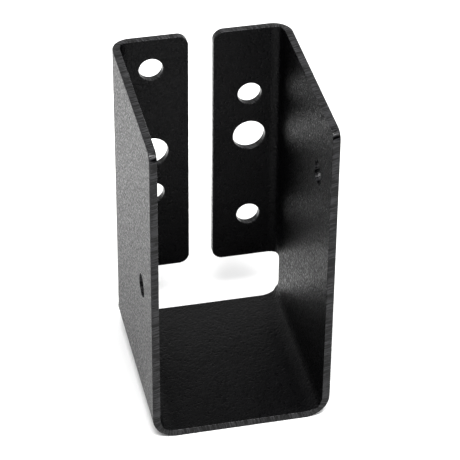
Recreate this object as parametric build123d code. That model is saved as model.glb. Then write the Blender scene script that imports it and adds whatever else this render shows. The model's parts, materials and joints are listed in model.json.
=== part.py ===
from build123d import *
import os

# Concealed-flange beam hanger: one laser-cut plate folded along four bend lines.
# Its panels and its bends are exported as separate touching nodes. Millimetres.
# +X runs across the channel, +Y from the open front to the flanges, +Z up.
# The origin is the bottom centre of the bounding box.

# Plate
PLATE = 4.2                 # thickness of the coated plate
INNER_WIDTH = 90.5          # clear width of the channel, for a 3-1/2 in beam
DEPTH = 112.0               # open front to the back faces of the flanges
HEIGHT = 187.0              # underside of the seat to the top edges

# Bends: outer radii, which the two flanks of the creased inner face share
SEAT_BEND = 13.7            # where the sides turn up from the seat
FLANGE_BEND = 10.7          # where the sides turn in to the flanges

# Blank outline
FLANGE_GAP = 13.6           # between the free edges of the two flanges
FLANGE_BOTTOM = 34.8        # height of the lower edges of the flanges
FLANGE_CORNER = 6.2         # radius of the flanges' free corners
FRONT_CORNER = 5.5          # radius of the sides' upper front corners
NOTCH_SETBACK = 8.7         # flanges' back faces to the sides' rear edges below them
NOTCH_FILLET = 2.2          # radius where a flange's lower edge meets its side
SEAT_SETBACK = 4.8          # seat's rear edge stops just short of the flanges' front faces
STEP_TOP = 16.5             # the sides' rear edges start to step back to the seat's here
STEP_BOTTOM = 8.5           # and reach it here, part way round the seat bends
STEP_FILLET = 4.0           # radius at both ends of that step

# Holes: radii and heights above the underside of the seat
SMALL_HOLE = 6.55           # radius
BIG_HOLE = 9.0              # radius
FLANGE_HOLE_X = 27.5        # distance of the flange holes from the centre plane
SIDE_HOLE_Y = 27.0          # distance of the side holes from the open front
FLANGE_HOLES = {
    "left": ((SMALL_HOLE, 168.0), (BIG_HOLE, 114.0), (SMALL_HOLE, 86.5)),
    "right": ((SMALL_HOLE, 145.5), (BIG_HOLE, 118.0), (SMALL_HOLE, 64.0)),
}
SIDE_HOLE_Z = {"left": 85.5, "right": 145.0}

# Positions that follow from the sizes above
HALF_INNER = INNER_WIDTH / 2
HALF_OUTER = HALF_INNER + PLATE
FRONT_Y = -DEPTH / 2
BACK_Y = DEPTH / 2
SIDE_BACK_Y = BACK_Y - FLANGE_BEND
SEAT_BACK_Y = BACK_Y - SEAT_SETBACK
NOTCH_Y = BACK_Y - NOTCH_SETBACK
NOTCH_TOP = FLANGE_BOTTOM - NOTCH_FILLET
SEAT_HALF = HALF_OUTER - SEAT_BEND
FLANGE_OUTER_X = HALF_OUTER - FLANGE_BEND
FLANGE_INNER_X = FLANGE_GAP / 2
SPAN = 4 * HEIGHT           # longer than any cut has to reach


def slab(low, high):
    """A box between two opposite corners."""
    size = [b - a for a, b in zip(low, high)]
    middle = [(a + b) / 2 for a, b in zip(low, high)]
    return Pos(*middle) * Box(*size)


def outline(plane, points, rounded):
    """A closed polygon on a plane, with radii at some of its corners."""
    face = make_face(Polyline(*points, close=True))
    for point, radius in rounded:
        corner = face.vertices().sort_by_distance(point)[0]
        face = fillet(corner, radius)
    return plane * face


def sweep_across(plane, points, rounded):
    """The polygon pushed through the whole part along the plane's normal."""
    return extrude(outline(plane, points, rounded), amount=SPAN / 2, both=True)


def quarter_bend(plane, radius, length):
    """A quarter turn of plate about the plane's origin: round outside, creased inside."""
    hollow = (Pos(-PLATE, 0) * Circle(radius)) & (Pos(0, -PLATE) * Circle(radius))
    corner = Rectangle(SPAN, SPAN, align=(Align.MIN, Align.MIN))
    return extrude(plane * ((Circle(radius) - hollow) & corner), amount=length)


def bored(panel, axis_dir, centre, radius):
    """Drill one round hole through a panel."""
    drill = Cylinder(radius, SPAN / 4)
    return panel - Plane(origin=centre, z_dir=axis_dir) * drill


def seat_panel():
    return slab((-SEAT_HALF, FRONT_Y, 0), (SEAT_HALF, SEAT_BACK_Y, PLATE))


def lower_profile():
    """Side view of everything below the flanges, with the step in its rear edge."""
    points = (
        (FRONT_Y, 0),
        (SEAT_BACK_Y, 0),
        (SEAT_BACK_Y, STEP_BOTTOM),
        (NOTCH_Y, STEP_TOP),
        (NOTCH_Y, NOTCH_TOP),
        (FRONT_Y, NOTCH_TOP),
    )
    return sweep_across(Plane.YZ, points, [(points[2], STEP_FILLET), (points[3], STEP_FILLET)])


def side_panel(hole_height):
    """The right-hand side: a lower part with the stepped rear edge, and an upper part."""
    lower = slab((HALF_INNER, FRONT_Y, SEAT_BEND), (HALF_OUTER, BACK_Y, NOTCH_TOP))
    points = (
        (FRONT_Y, NOTCH_TOP),
        (SIDE_BACK_Y, NOTCH_TOP),
        (SIDE_BACK_Y, HEIGHT),
        (FRONT_Y, HEIGHT),
    )
    upper = sweep_across(Plane.YZ, points, [(points[3], FRONT_CORNER)])
    upper &= slab((HALF_INNER, FRONT_Y, NOTCH_TOP), (HALF_OUTER, SIDE_BACK_Y, HEIGHT))
    wall = (lower & lower_profile()) + upper
    centre = (HALF_INNER, FRONT_Y + SIDE_HOLE_Y, hole_height)
    return bored(wall, (1, 0, 0), centre, SMALL_HOLE)


def seat_bend():
    """The bend between the seat and the right-hand side."""
    corner = Plane((SEAT_HALF, SEAT_BACK_Y, SEAT_BEND), x_dir=(1, 0, 0), z_dir=(0, 1, 0))
    bend = quarter_bend(corner, SEAT_BEND, FRONT_Y - SEAT_BACK_Y)
    return bend & lower_profile()


def flange_bend():
    """The bend between the right-hand side and its flange, with the notch fillet."""
    corner = Plane((FLANGE_OUTER_X, SIDE_BACK_Y, NOTCH_TOP), x_dir=(1, 0, 0), z_dir=(0, 0, 1))
    bend = quarter_bend(corner, FLANGE_BEND, HEIGHT - NOTCH_TOP)
    points = (
        (FRONT_Y, 0),
        (NOTCH_Y, 0),
        (NOTCH_Y, FLANGE_BOTTOM),
        (DEPTH, FLANGE_BOTTOM),
        (DEPTH, HEIGHT),
        (FRONT_Y, HEIGHT),
    )
    return bend & sweep_across(Plane.YZ, points, [(points[2], NOTCH_FILLET)])


def flange_panel(holes):
    """The right-hand flange with its rounded free corners and its holes."""
    points = (
        (FLANGE_INNER_X, FLANGE_BOTTOM),
        (FLANGE_OUTER_X, FLANGE_BOTTOM),
        (FLANGE_OUTER_X, HEIGHT),
        (FLANGE_INNER_X, HEIGHT),
    )
    free_corners = [(point, FLANGE_CORNER) for point in (points[0], points[3])]
    plane = Plane((0, BACK_Y, 0), x_dir=(1, 0, 0), z_dir=(0, -1, 0))
    panel = extrude(outline(plane, points, free_corners), amount=PLATE)
    for radius, height in holes:
        panel = bored(panel, (0, 1, 0), (FLANGE_HOLE_X, BACK_Y, height), radius)
    return panel


def one_side(side):
    """The panels and bends of one side, all drawn on the right."""
    return {
        "seat_bend": seat_bend(),
        "side_panel": side_panel(SIDE_HOLE_Z[side]),
        "flange_bend": flange_bend(),
        "flange_panel": flange_panel(FLANGE_HOLES[side]),
    }


def build_nodes():
    """Every node by name. The left side is the mirror image of its drawing."""
    nodes = {"seat_panel": seat_panel()}
    for name, shape in one_side("right").items():
        nodes["right_" + name] = shape
    for name, shape in one_side("left").items():
        nodes["left_" + name] = mirror(shape, about=Plane.YZ)
    return nodes


os.makedirs("parts", exist_ok=True)
for node, shape in build_nodes().items():
    export_step(shape, "parts/" + node + ".step")
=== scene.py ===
# Looks of a folded-plate beam hanger. Its flat blank is meshed with its holes and its rounded,
# striated cut edges, folded round the four bends, and shared out between the CAD nodes.

import json
import math

import bmesh
import bpy
from mathutils import Matrix, Vector, noise
from mathutils.geometry import delaunay_2d_cdt


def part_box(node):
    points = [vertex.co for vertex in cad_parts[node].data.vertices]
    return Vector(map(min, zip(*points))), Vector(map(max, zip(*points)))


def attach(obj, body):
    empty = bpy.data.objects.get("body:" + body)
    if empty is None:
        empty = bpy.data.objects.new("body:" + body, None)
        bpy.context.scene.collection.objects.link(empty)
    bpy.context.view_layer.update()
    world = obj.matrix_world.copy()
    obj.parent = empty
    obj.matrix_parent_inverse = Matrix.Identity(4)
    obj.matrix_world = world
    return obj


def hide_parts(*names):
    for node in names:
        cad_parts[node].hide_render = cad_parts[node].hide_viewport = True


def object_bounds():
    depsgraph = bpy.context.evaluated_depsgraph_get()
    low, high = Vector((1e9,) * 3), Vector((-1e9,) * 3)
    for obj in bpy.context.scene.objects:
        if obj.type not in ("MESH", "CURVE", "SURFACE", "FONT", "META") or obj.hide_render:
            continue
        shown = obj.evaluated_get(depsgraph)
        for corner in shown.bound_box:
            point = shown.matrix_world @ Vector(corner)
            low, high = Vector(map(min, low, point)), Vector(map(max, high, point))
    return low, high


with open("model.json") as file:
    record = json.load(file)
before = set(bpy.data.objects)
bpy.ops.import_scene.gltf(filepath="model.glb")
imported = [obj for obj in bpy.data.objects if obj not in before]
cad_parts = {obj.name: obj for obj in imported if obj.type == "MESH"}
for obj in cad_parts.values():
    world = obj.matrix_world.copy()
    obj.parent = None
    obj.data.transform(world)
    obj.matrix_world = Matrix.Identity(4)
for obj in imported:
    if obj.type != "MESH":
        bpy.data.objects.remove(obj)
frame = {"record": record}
cad_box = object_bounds()

MM = 0.001

# Sizes read from the CAD frame
low, high = cad_box
seat_low, seat_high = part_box("seat_panel")
bend_low, bend_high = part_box("right_seat_bend")
turn_low, turn_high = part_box("right_flange_bend")
flange_low, flange_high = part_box("right_flange_panel")
PLATE = seat_high.z - seat_low.z
HALF_PLATE = PLATE / 2
FRONT = low.y
HEIGHT = high.z
SEAT_HALF = seat_high.x
SEAT_BEND = bend_high.x - bend_low.x - HALF_PLATE       # radius at the middle of the plate
FLANGE_BEND = turn_high.x - turn_low.x - HALF_PLATE
SIDE_FOOT = bend_high.z                                 # height where the sides become flat
SIDE_LENGTH = turn_low.y - FRONT                        # front edge to the flange bends
NOTCH_TOP = turn_low.z                                  # height where the flange bends begin
SEAT_LENGTH = seat_high.y - FRONT
FLANGE_FOOT = flange_low.z
FLANGE_WIDTH = flange_high.x - flange_low.x             # the flat part of a flange
SEAT_ARC = SEAT_BEND * math.pi / 2
FLANGE_ARC = FLANGE_BEND * math.pi / 2

# Corner radii of the blank
FLANGE_CORNER = 6.2 * MM
FRONT_CORNER = 5.5 * MM
NOTCH_FILLET = 2.2 * MM
NOTCH_SETBACK = 8.7 * MM        # flanges' back faces to the sides' rear edges below them
NOTCH_LENGTH = high.y - FRONT - NOTCH_SETBACK
STEP_TOP = 16.5 * MM            # heights between which the rear edge steps back to the seat's
STEP_BOTTOM = 8.5 * MM
STEP_FILLET = 4.0 * MM

# Cut edges
EDGE_RADIUS = 0.45 * MM         # the coating rounds every edge over
EDGE_STEPS = 4
EDGE_MARGIN = 1.2 * MM          # narrow flat ring that keeps the faces' shading flat
WALL_ROWS = 4
RIM_STEP = 0.26 * MM
MERGE_REACH = 1e-9              # points of a face nearer than this are one

# Cutting marks: fine striations on broader waves
STRIATION_PITCH = 0.95 * MM
STRIATION_DEPTH = 0.16 * MM
STRIATION_DRAG = 0.9 * MM       # how far the marks trail through the plate
STRIATION_DRIFT = 0.35          # how much a striation changes from face to face
WAVE_RATE = 0.15                # waves to a striation
WAVE_SHARE = 0.25               # height of the waves against the striations
WAVE_SEED = 7.5
RIDGE = "ridge"                 # attribute: how far a point stands out of its marks, 0 to 1

# Bends
BEND_STEPS = 20
CREASE_SOFTNESS = 0.07          # radians over which the coating rounds the crease inside a bend
BEND_LEAD = 0.004               # share of a bend that is its first, nearly flat, facet
LEAN_FOOT = 22 * MM             # below this height the sides stay flat behind the bend line
LEAN_STEPS = 5
SCORE_REACH = 1e-7              # a point this near a scored line is moved on to it
SEAM_REACH = 0.5e-6             # a point this near a seam line lies on it

# Powder coat. A pair of roughnesses or tones is for the pits and the tops of the surface.
GRAIN_SIZE = 1.2 * MM
PEEL_SIZE = 5 * MM              # soft unevenness under the grain
PEEL_DEPTH = 0.15 * MM
CLOUD_SIZE = 22 * MM            # slow drift of the tone over the faces
NOISE_SPAN = (0.3, 0.7)         # nearly all values of a noise lie between these
RIDGE_HIGHLIGHT_SPAN = (0.4, 0.7)         # the painted highlight on a cut edge sets in between these ridge heights
FACE_GRAIN = 0.45 * MM          # depth
FACE_ROUGHNESS = (0.2, 0.56)
FACE_TONES = (0.0007, 0.0007, 0.0009), (0.0019, 0.0019, 0.0022)
FACE_SPECULAR = 0.098
CUT_GRAIN = 0.08 * MM           # depth
CUT_ROUGHNESS = (0.1, 0.2)
# base colour of the cut edges: dark in the pits of the cutting marks, with a painted highlight on
# their ridges
CUT_PAINTED_HIGHLIGHT_TONES = (0.0003, 0.0003, 0.0004), (0.019, 0.019, 0.0205)
CUT_SPECULAR = 0.15

# Studio: metres and watts
FLOOR_REACH = 6.0
FLOOR_TONE = 0.95
FLOOR_ROUGHNESS = 0.9
TOOTH_SIZE = 4 * MM
TOOTH_DEPTH = 0.05 * MM
TOOTH_STRENGTH = 0.1
LIGHT_TARGET = Vector((0, -0.05, 0.18))
POOL_HEIGHT = 1.0
POOL_CONE = math.radians(32)
POOL_LAMP = 0.05                # radius of the lamp, which softens its shadows
LIT_WALLS = 0.95
UNLIT_FRONT = 0.1
FRONT_SPAN = (-0.5, 0.2)        # the unlit front ends between these Y directions
UPPER_SPAN = (0.55, 0.75)       # and between these Z directions

# Camera
CAMERA_PLACE = Vector((-0.2190, -0.9718, 0.8242))
CAMERA_YAW = math.radians(12.99)
CAMERA_PITCH = math.radians(-36.25)
CAMERA_ROLL = math.radians(0.57)
CAMERA_LENS = 177.8


# ---- the flat blank: u runs across and up the sides, v runs back from the front edge ----

def height_to_u(height):
    """Distance from the centre line of the blank to a height on a side or a seat bend."""
    if height < SIDE_FOOT:
        return SEAT_HALF + SEAT_BEND * math.acos((SIDE_FOOT - height) / SEAT_BEND)
    return SEAT_HALF + SEAT_ARC + height - SIDE_FOOT


def blank_corners():
    """The right half of the blank's outline, front to back, as (u, v, radius)."""
    top, foot = height_to_u(HEIGHT), height_to_u(FLANGE_FOOT)
    end = SIDE_LENGTH + FLANGE_ARC + FLANGE_WIDTH
    return [
        (top, 0.0, FRONT_CORNER),
        (top, end, FLANGE_CORNER),
        (foot, end, FLANGE_CORNER),
        (foot, NOTCH_LENGTH, NOTCH_FILLET),
        (height_to_u(STEP_TOP), NOTCH_LENGTH, STEP_FILLET),
        (height_to_u(STEP_BOTTOM), SEAT_LENGTH, STEP_FILLET),
    ]


def sample_line(start, end, normal):
    """One straight run of a rim, without its end point, as (point, inward normal) pairs."""
    steps = max(1, round((end - start).length / RIM_STEP))
    return [(start.lerp(end, i / steps), normal) for i in range(steps)]


def sample_corner(before, corner, after, radius):
    """Tangent arc at one corner, as (point, inward normal) pairs with both of its ends."""
    way_in, way_out = (corner - before).normalized(), (after - corner).normalized()
    turn = way_in.angle_signed(way_out) * -1
    hand = math.copysign(1.0, turn)
    start = corner - way_in * radius * math.tan(abs(turn) / 2)
    first_normal = Vector((-way_in.y, way_in.x))
    centre = start + first_normal * radius * hand
    steps = max(2, round(radius * abs(turn) / RIM_STEP))
    arc = []
    for i in range(steps + 1):
        normal = first_normal.copy()
        normal.rotate(Matrix.Rotation(turn * i / steps, 2))
        arc.append((centre - normal * radius * hand, normal))
    return arc


def outline_rim():
    """The whole outline, anticlockwise."""
    right = blank_corners()
    corners = right + [(-u, v, radius) for u, v, radius in reversed(right)]
    points = [Vector((u, v)) for u, v, _ in corners]
    arcs = []
    for i, (_, _, radius) in enumerate(corners):
        arcs.append(sample_corner(points[i - 1], points[i], points[(i + 1) % len(points)], radius))
    rim = []
    for i, arc in enumerate(arcs):
        rim += arc[:-1]
        rim += sample_line(arc[-1][0], arcs[(i + 1) % len(arcs)][0][0], arc[-1][1])
    return rim


def hole_rim(centre, radius):
    """A round hole, clockwise, so that the plate is on its left like the outline's."""
    steps = round(2 * math.pi * radius / RIM_STEP)
    rim = []
    for i in range(steps):
        angle = -2 * math.pi * i / steps
        normal = Vector((math.cos(angle), math.sin(angle)))
        rim.append((centre + normal * radius, normal))
    return rim


def unfold(place):
    """Where a point on a side or a flange lies on the blank."""
    u = height_to_u(place.z)
    if abs(place.x) > turn_low.x:
        return Vector((math.copysign(u, place.x), place.y - FRONT))
    return Vector((math.copysign(u, place.x), SIDE_LENGTH + FLANGE_ARC + turn_low.x - abs(place.x)))


def blank_holes():
    """Centre and radius of every hole on the blank, from the record's mounts."""
    holes = []
    for mount in frame["record"]["mounts"]:
        place, sizes = Vector(mount["pos_m"]), mount["dims"]
        if mount["kind"] == "bore":
            holes.append((unfold(place), sizes["r_mm"] * MM))
        elif mount["kind"] == "bolt_pattern":
            half = Vector((0, 0, sizes["spacing_y_mm"] * MM / 2))
            holes += [(unfold(place + step), sizes["hole_r_mm"] * MM) for step in (half, -half)]
    return holes


# ---- mesh of the blank ----

def edge_profile():
    """Rows over a cut edge, outer face to inner: (inset, height, share of the cutting marks)."""
    over = [(EDGE_MARGIN, HALF_PLATE, 0.0)]
    for i in range(EDGE_STEPS + 1):
        angle = math.pi / 2 * i / EDGE_STEPS
        inset = EDGE_RADIUS * (1 - math.sin(angle))
        over.append((inset, HALF_PLATE - EDGE_RADIUS * (1 - math.cos(angle)), math.sin(angle) ** 2))
    wall_top = HALF_PLATE - EDGE_RADIUS
    wall = []
    for i in range(1, WALL_ROWS):
        wall.append((0.0, wall_top * (1 - 2 * i / WALL_ROWS), 1.0))
    under = [(inset, -height, share) for inset, height, share in reversed(over)]
    return over + wall + under


def cutting_mark(distance, height, seed):
    """Depth of the cutting marks, 0 to 1, at a distance along a rim and a height in the plate."""
    depth_share = 0.5 - height / PLATE
    along = 2 * (distance + STRIATION_DRAG * depth_share ** 2) / STRIATION_PITCH
    fine = noise.noise(Vector((along, STRIATION_DRIFT * depth_share, seed)))
    broad = noise.noise(Vector((WAVE_RATE * along, depth_share, seed + WAVE_SEED)))
    return min(1.0, max(0.0, 0.5 + fine + WAVE_SHARE * broad))


def add_rim(mesh, rim, profile, seed):
    """The rounded cut edge along one rim. Returns its rows of vertices."""
    ridge = mesh.verts.layers.float[RIDGE]
    rows = []
    for inset, height, share in profile:
        row, distance = [], 0.0
        for i, (point, normal) in enumerate(rim):
            distance += (point - rim[i - 1][0]).length if i else 0.0
            mark = cutting_mark(distance, height, seed)
            place = point + normal * (inset + share * STRIATION_DEPTH * mark)
            vert = mesh.verts.new((place.x, place.y, height))
            vert[ridge] = 1.0 - mark
            row.append(vert)
        rows.append(row)
    for k in range(len(rows) - 1):
        is_cut = profile[k][2] > 0 or profile[k + 1][2] > 0
        for i in range(len(rim)):
            face = mesh.faces.new((rows[k][i - 1], rows[k + 1][i - 1], rows[k + 1][i], rows[k][i]))
            face.material_index = 1 if is_cut else 0
    return rows


def add_face(mesh, loops, holes, outward):
    """Fills one face of the plate between its innermost rim rows."""
    verts = [v for loop in loops for v in loop]
    edges, start = [], 0
    for loop in loops:
        edges += [(start + i, start + (i + 1) % len(loop)) for i in range(len(loop))]
        start += len(loop)
    flat = [Vector((v.co.x, v.co.y)) for v in verts]
    _, _, triangles, origins, _, _ = delaunay_2d_cdt(flat, edges, [], 1, MERGE_REACH)
    for triangle in triangles:
        corners = [verts[origins[i][0]] for i in triangle]
        middle = sum((v.co for v in corners), Vector()) / 3
        if any((middle.xy - centre).length < radius + EDGE_MARGIN for centre, radius in holes):
            continue
        mesh.faces.new(corners if outward else corners[::-1])


def blank_mesh():
    """The flat blank, closed, with its ridge attribute."""
    mesh = bmesh.new()
    mesh.verts.layers.float.new(RIDGE)
    holes = blank_holes()
    profile = edge_profile()
    rims = [outline_rim()] + [hole_rim(centre, radius) for centre, radius in holes]
    rows = [add_rim(mesh, rim, profile, seed) for seed, rim in enumerate(rims)]
    add_face(mesh, [r[0] for r in rows], holes, True)
    add_face(mesh, [r[-1] for r in rows], holes, False)
    return mesh


# ---- folding ----

def bend_shares():
    """Where a bend is scored, as shares of its arc, with a nearly flat facet at each end."""
    inner = [i / BEND_STEPS for i in range(1, BEND_STEPS)]
    return [0.0, BEND_LEAD] + inner + [1.0 - BEND_LEAD, 1.0]


def score(mesh, place, normal):
    """Cuts every face that crosses a line on the blank, so that edges lie along it."""
    geom = mesh.verts[:] + mesh.edges[:] + mesh.faces[:]
    bmesh.ops.bisect_plane(mesh, geom=geom, dist=SCORE_REACH, plane_co=place, plane_no=normal)


def score_bends(mesh):
    """Scores the blank along its bends, and across the height where the flange bends set in."""
    lean_start, lean_end = height_to_u(LEAN_FOOT), height_to_u(NOTCH_TOP)
    across = [SEAT_HALF + SEAT_ARC * share for share in bend_shares()]
    across += [lean_start + (lean_end - lean_start) * i / LEAN_STEPS for i in range(LEAN_STEPS + 1)]
    for hand in (-1, 1):
        for u in across:
            score(mesh, (hand * u, 0, 0), (1, 0, 0))
    for share in bend_shares():
        score(mesh, (0, SIDE_LENGTH + FLANGE_ARC * share, 0), (0, 1, 0))


def inner_reach(angle, outer):
    """Distance from a bend's centre to its inner face: two flanks that meet in a soft crease."""
    half = math.pi / 4
    turn = half - math.hypot(angle - half, CREASE_SOFTNESS)
    return math.sqrt(outer ** 2 - (PLATE * math.sin(turn)) ** 2) - PLATE * math.cos(turn)


def bend(distance, offset, radius, arc):
    """Follows a plate round one bend: (along the old plate, away from the bend's centre)."""
    if distance <= 0:
        return distance, offset
    if distance >= arc:
        return radius + offset, arc - radius - distance
    angle, outer = distance / radius, radius + HALF_PLATE
    inner = inner_reach(angle, outer)
    reach = inner + (outer - inner) * (offset / PLATE + 0.5)
    return reach * math.sin(angle), reach * math.cos(angle) - radius


def lean(u):
    """How far the flange bend's turn has set in at a distance from the centre line: 0 to 1."""
    lean_start, lean_end = height_to_u(LEAN_FOOT), height_to_u(NOTCH_TOP)
    share = min(1.0, max(0.0, (u - lean_start) / (lean_end - lean_start)))
    return share * share * (3 - 2 * share)


def fold(place):
    """Moves a point of the blank to its place on the folded part."""
    u, v, offset = abs(place.x), place.y, place.z
    past, turned = bend(v - SIDE_LENGTH, offset, FLANGE_BEND, FLANGE_ARC)
    v += (SIDE_LENGTH + past - v) * lean(u)
    offset += (turned - offset) * lean(u)
    across, drop = bend(u - SEAT_HALF, offset, SEAT_BEND, SEAT_ARC)
    x, z = SEAT_HALF + across, HALF_PLATE - drop
    return Vector((math.copysign(x, place.x), FRONT + v, z))


def node_of(u, v):
    """The CAD node that a point of the blank belongs to."""
    side = "left_" if u < 0 else "right_"
    if abs(u) < SEAT_HALF:
        return "seat_panel"
    if abs(u) < SEAT_HALF + SEAT_ARC:
        return side + "seat_bend"
    if v < SIDE_LENGTH or abs(u) < height_to_u(NOTCH_TOP):
        return side + "side_panel"
    if v < SIDE_LENGTH + FLANGE_ARC:
        return side + "flange_bend"
    return side + "flange_panel"


def split_by_node(mesh):
    """Sorts the blank's faces by the CAD node they belong to."""
    groups = {}
    for face in mesh.faces:
        middle = face.calc_center_median()
        groups.setdefault(node_of(middle.x, middle.y), []).append(face)
    return groups


def seam_of(one, other):
    """The seam line that two neighbouring points of the blank both lie on."""
    for axis, place in ((0, SEAT_HALF), (0, SEAT_HALF + SEAT_ARC), (1, SIDE_LENGTH),
                        (1, SIDE_LENGTH + FLANGE_ARC), (0, height_to_u(NOTCH_TOP))):
        if all(abs(abs(point[axis]) - place) < SEAM_REACH for point in (one, other)):
            return axis, math.copysign(place, one[axis])
    raise ValueError("an open edge lies on no seam")


def cap_seams(piece, blank_of):
    """Closes every cut through the plate with a flat face of its own."""
    seams = {}
    for edge in [edge for edge in piece.edges if edge.is_boundary]:
        edge.smooth = False
        seams.setdefault(seam_of(*(blank_of[vert] for vert in edge.verts)), []).append(edge)
    for edges in seams.values():
        verts = [vert for edge in edges for vert in edge.verts]
        ends = [vert for vert in verts if verts.count(vert) == 1]
        if ends:
            edges.append(piece.edges.get(ends) or piece.edges.new(ends))
        for cap in bmesh.ops.contextual_create(piece, geom=edges)["faces"]:
            cap.smooth = False


def folded_piece(name, faces, ridge):
    """One closed, folded mesh from its share of the blank's faces."""
    piece = bmesh.new()
    piece_ridge = piece.verts.layers.float.new(RIDGE)
    copies = {}
    for face in faces:
        for vert in face.verts:
            if vert not in copies:
                copies[vert] = piece.verts.new(fold(vert.co))
                copies[vert][piece_ridge] = vert[ridge]
        copy = piece.faces.new([copies[vert] for vert in face.verts])
        copy.material_index = face.material_index
        copy.smooth = True
    cap_seams(piece, {copy: vert.co.copy() for vert, copy in copies.items()})
    bmesh.ops.recalc_face_normals(piece, faces=piece.faces[:])
    data = bpy.data.meshes.new(name)
    piece.to_mesh(data)
    piece.free()
    obj = bpy.data.objects.new(name, data)
    bpy.context.scene.collection.objects.link(obj)
    return obj


# ---- materials ----

def new_material(name):
    material = bpy.data.materials.new(name)
    material.use_nodes = True
    nodes, links = material.node_tree.nodes, material.node_tree.links
    return material, nodes, links, nodes["Principled BSDF"]


def noise_node(nodes, links, coords, size, detail):
    """Noise whose grains are about size metres across."""
    node = nodes.new("ShaderNodeTexNoise")
    node.inputs["Scale"].default_value = 1 / size
    node.inputs["Detail"].default_value = detail
    links.new(coords, node.inputs["Vector"])
    return node.outputs["Fac"]


def ramp_node(nodes, links, value, span, levels, interpolation="LINEAR"):
    """A value that runs from one level to another across a span of another value."""
    node = nodes.new("ShaderNodeMapRange")
    node.interpolation_type = interpolation
    for name, setting in zip(("From Min", "From Max", "To Min", "To Max"), (*span, *levels)):
        node.inputs[name].default_value = setting
    links.new(value, node.inputs["Value"])
    return node.outputs["Result"]


def tone_node(nodes, links, value, span, tones):
    """A colour that runs from one tone to another across a span of a value."""
    node = nodes.new("ShaderNodeValToRGB")
    for stop, position, tone in zip(node.color_ramp.elements, span, tones):
        stop.position, stop.color = position, (*tone, 1)
    links.new(value, node.inputs["Fac"])
    return node.outputs["Color"]


def bump_node(nodes, links, height, distance, strength=1.0, below=None):
    node = nodes.new("ShaderNodeBump")
    node.inputs["Distance"].default_value = distance
    node.inputs["Strength"].default_value = strength
    links.new(height, node.inputs["Height"])
    if below:
        links.new(below, node.inputs["Normal"])
    return node.outputs["Normal"]


def coat_grain(nodes, links, shader, depth, roughness):
    """The coat's fine grain, with a soft unevenness under it, in bump and in gloss."""
    coords = nodes.new("ShaderNodeTexCoord").outputs["Object"]
    grain = noise_node(nodes, links, coords, GRAIN_SIZE, 2.0)
    peel = noise_node(nodes, links, coords, PEEL_SIZE, 1.0)
    soft = bump_node(nodes, links, peel, PEEL_DEPTH)
    links.new(bump_node(nodes, links, grain, depth, below=soft), shader.inputs["Normal"])
    links.new(ramp_node(nodes, links, grain, NOISE_SPAN, roughness), shader.inputs["Roughness"])
    return coords


def face_coat():
    """Black powder coat on the faces of the plate."""
    material, nodes, links, shader = new_material("powder_coat_face")
    coords = coat_grain(nodes, links, shader, FACE_GRAIN, FACE_ROUGHNESS)
    cloud = noise_node(nodes, links, coords, CLOUD_SIZE, 2.0)
    links.new(tone_node(nodes, links, cloud, NOISE_SPAN, FACE_TONES), shader.inputs["Base Color"])
    shader.inputs["Specular IOR Level"].default_value = FACE_SPECULAR
    return material


def cut_coat_painted_highlight():
    """The thinner coat on the cut edges, with a painted highlight on the ridges of the cutting
    marks.
    """
    material, nodes, links, shader = new_material("powder_coat_cut")
    coat_grain(nodes, links, shader, CUT_GRAIN, CUT_ROUGHNESS)
    ridge = nodes.new("ShaderNodeAttribute")
    ridge.attribute_name = RIDGE
    # painted highlight: the base colour lightens on the ridges of the cutting marks
    tone = tone_node(nodes, links, ridge.outputs["Fac"], RIDGE_HIGHLIGHT_SPAN, CUT_PAINTED_HIGHLIGHT_TONES)
    links.new(tone, shader.inputs["Base Color"])
    shader.inputs["Specular IOR Level"].default_value = CUT_SPECULAR
    return material


def floor_material():
    """Matt white studio board with a barely visible tooth."""
    material, nodes, links, shader = new_material("studio_board")
    coords = nodes.new("ShaderNodeTexCoord").outputs["Object"]
    tooth = noise_node(nodes, links, coords, TOOTH_SIZE, 2.0)
    shader.inputs["Base Color"].default_value = (FLOOR_TONE, FLOOR_TONE, FLOOR_TONE, 1)
    shader.inputs["Roughness"].default_value = FLOOR_ROUGHNESS
    bump = bump_node(nodes, links, tooth, TOOTH_DEPTH, TOOTH_STRENGTH)
    links.new(bump, shader.inputs["Normal"])
    return material


# ---- studio ----

def add_floor():
    """A wide white board under the part."""
    data = bpy.data.meshes.new("studio_floor")
    corners = [(-1, -1), (1, -1), (1, 1), (-1, 1)]
    data.from_pydata([(x * FLOOR_REACH, y * FLOOR_REACH, 0) for x, y in corners], [], [range(4)])
    floor = bpy.data.objects.new("studio_floor", data)
    bpy.context.scene.collection.objects.link(floor)
    data.materials.append(floor_material())


def add_light(name, kind, place, power):
    """A light that points straight down. Returns its object."""
    light = bpy.data.lights.new(name, kind)
    light.energy = power
    obj = bpy.data.objects.new(name, light)
    obj.location = place
    bpy.context.scene.collection.objects.link(obj)
    return obj


def add_softbox(name, place, width, depth, power):
    """A rectangle of light turned towards the part."""
    obj = add_light(name, "AREA", place, power)
    obj.data.shape = "RECTANGLE"
    obj.data.size, obj.data.size_y = width, depth
    obj.rotation_euler = (LIGHT_TARGET - Vector(place)).to_track_quat("-Z", "Y").to_euler()


def add_floor_pool(name, x, y, power):
    """A soft spot straight down, which lifts the floor that one face of the part mirrors."""
    light = add_light(name, "SPOT", (x, y, POOL_HEIGHT), power).data
    light.spot_size = POOL_CONE
    light.spot_blend = 1.0
    light.shadow_soft_size = POOL_LAMP


def multiply(nodes, links, one, other):
    node = nodes.new("ShaderNodeMath")
    node.operation = "MULTIPLY"
    links.new(one, node.inputs[0])
    links.new(other, node.inputs[1])
    return node.outputs[0]


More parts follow.
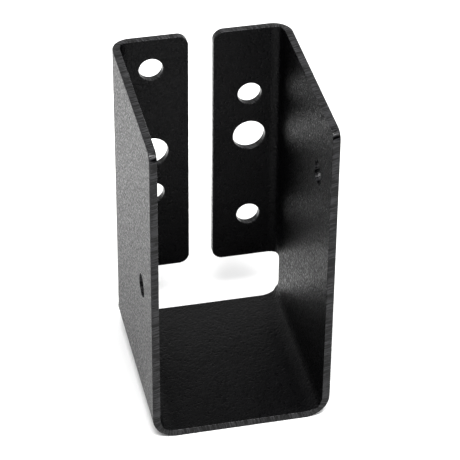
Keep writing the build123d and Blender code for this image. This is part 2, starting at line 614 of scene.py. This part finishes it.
def add_world():
    """White walls behind and beside, an unlit room low in front."""
    world = bpy.data.worlds.new("studio")
    world.use_nodes = True
    nodes, links = world.node_tree.nodes, world.node_tree.links
    direction = nodes.new("ShaderNodeSeparateXYZ")
    links.new(nodes.new("ShaderNodeTexCoord").outputs["Generated"], direction.inputs["Vector"])

    def smooth(value, span, levels):
        return ramp_node(nodes, links, value, span, levels, "SMOOTHSTEP")

    front = smooth(direction.outputs["Y"], FRONT_SPAN, (1.0, 0.0))
    below = smooth(direction.outputs["Z"], UPPER_SPAN, (1.0, 0.0))
    unlit = multiply(nodes, links, front, below)
    background = nodes["Background"]
    background.inputs["Color"].default_value = (1, 1, 1, 1)
    links.new(smooth(unlit, (0.0, 1.0), (LIT_WALLS, UNLIT_FRONT)), background.inputs["Strength"])
    bpy.context.scene.world = world


def add_camera():
    """A long lens in front, to the left and above."""
    data = bpy.data.cameras.new("camera")
    data.lens = CAMERA_LENS
    camera = bpy.data.objects.new("camera", data)
    sin_yaw, cos_yaw = math.sin(CAMERA_YAW), math.cos(CAMERA_YAW)
    cos_pitch = math.cos(CAMERA_PITCH)
    forward = Vector((sin_yaw * cos_pitch, cos_yaw * cos_pitch, math.sin(CAMERA_PITCH)))
    right = Vector((cos_yaw, -sin_yaw, 0))
    up = right.cross(forward)
    turn = Matrix((right, up, -forward)).transposed() @ Matrix.Rotation(CAMERA_ROLL, 3, "Z")
    camera.matrix_world = Matrix.Translation(CAMERA_PLACE) @ turn.to_4x4()
    bpy.context.scene.collection.objects.link(camera)
    bpy.context.scene.camera = camera


# ---- the scene ----

def add_hanger():
    """Nine coated pieces, one in place of each CAD node."""
    coats = face_coat(), cut_coat_painted_highlight()
    blank = blank_mesh()
    score_bends(blank)
    ridge = blank.verts.layers.float[RIDGE]
    for node, faces in split_by_node(blank).items():
        piece = folded_piece(node + "_coated", faces, ridge)
        for coat in coats:
            piece.data.materials.append(coat)
        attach(piece, "root")
        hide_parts(node)
    blank.free()


def add_lights():
    """Two softboxes overhead in front, and a pool of light on the floor behind and beside."""
    add_softbox("overhead", (0.0, -0.48, 1.09), 1.2, 1.02, 10)
    add_softbox("strip", (0.0, -0.53, 1.0), 0.6, 0.2, 12)
    add_floor_pool("pool_behind", -0.05, 0.34, 24)
    add_floor_pool("pool_left", -0.45, 0.0, 160)
    add_floor_pool("pool_right", 0.45, 0.0, 160)


add_hanger()
add_floor()
add_lights()
add_world()
add_camera()
bpy.context.scene.view_settings.view_transform = "Standard"
